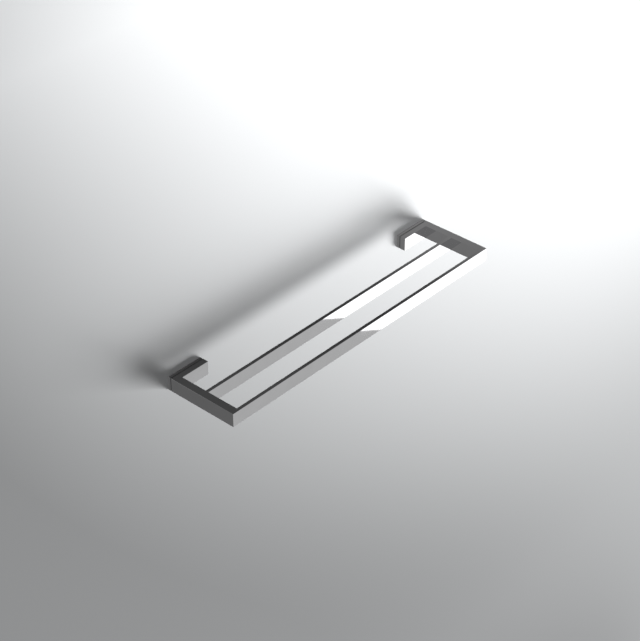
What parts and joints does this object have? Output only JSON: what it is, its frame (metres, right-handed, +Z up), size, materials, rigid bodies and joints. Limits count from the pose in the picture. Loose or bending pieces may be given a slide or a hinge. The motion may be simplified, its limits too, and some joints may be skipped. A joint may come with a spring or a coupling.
{
  "type": "towel rack",
  "caption": "Wall-mounted double towel rail: two flat chrome bars between L-shaped brackets on slim wall plates, held by hidden set screws.",
  "frame": {"origin": "on the wall plane, midway between the two wall plates and at the rack's mid-height, which is the middle of the wall screw pattern", "axes": "+X along the wall to the right as seen from the front, +Y into the wall, +Z up"},
  "size_m": [0.6, 0.136, 0.024],
  "materials": {
    "bar_chrome": "mirror-polished chrome plate",
    "bracket_chrome": "mirror-polished chrome plate",
    "plate_chrome": "polished chrome plate",
    "block_metal": "as-cast zinc alloy, dull grey",
    "pin_steel": "ground",
    "screw_steel": "zinc plated",
    "set_screw_steel": "stainless, turned"
  },
  "bodies": {
    "rack": {"front_bar": "bar_chrome", "middle_bar": "bar_chrome", "bracket_left": "bracket_chrome", "bracket_right": "bracket_chrome", "front_pins_left": "pin_steel", "front_pins_right": "pin_steel", "middle_pins_left": "pin_steel", "middle_pins_right": "pin_steel", "wall_plate_left": "plate_chrome", "wall_plate_right": "plate_chrome", "mounting_block_left": "block_metal", "mounting_block_right": "block_metal", "block_screws_left": "screw_steel", "block_screws_right": "screw_steel"},
    "screw_left": {"set_screw_left": "set_screw_steel"},
    "screw_right": {"set_screw_right": "set_screw_steel"}
  },
  "joints": [
    {"name": "set_screw_left_travel", "type": "slide", "parent": "rack", "child": "screw_left", "axis": [0, 0, -1], "range_m": [0, 0.003]},
    {"name": "set_screw_right_travel", "type": "slide", "parent": "rack", "child": "screw_right", "axis": [0, 0, -1], "range_m": [0, 0.003]}
  ]
}
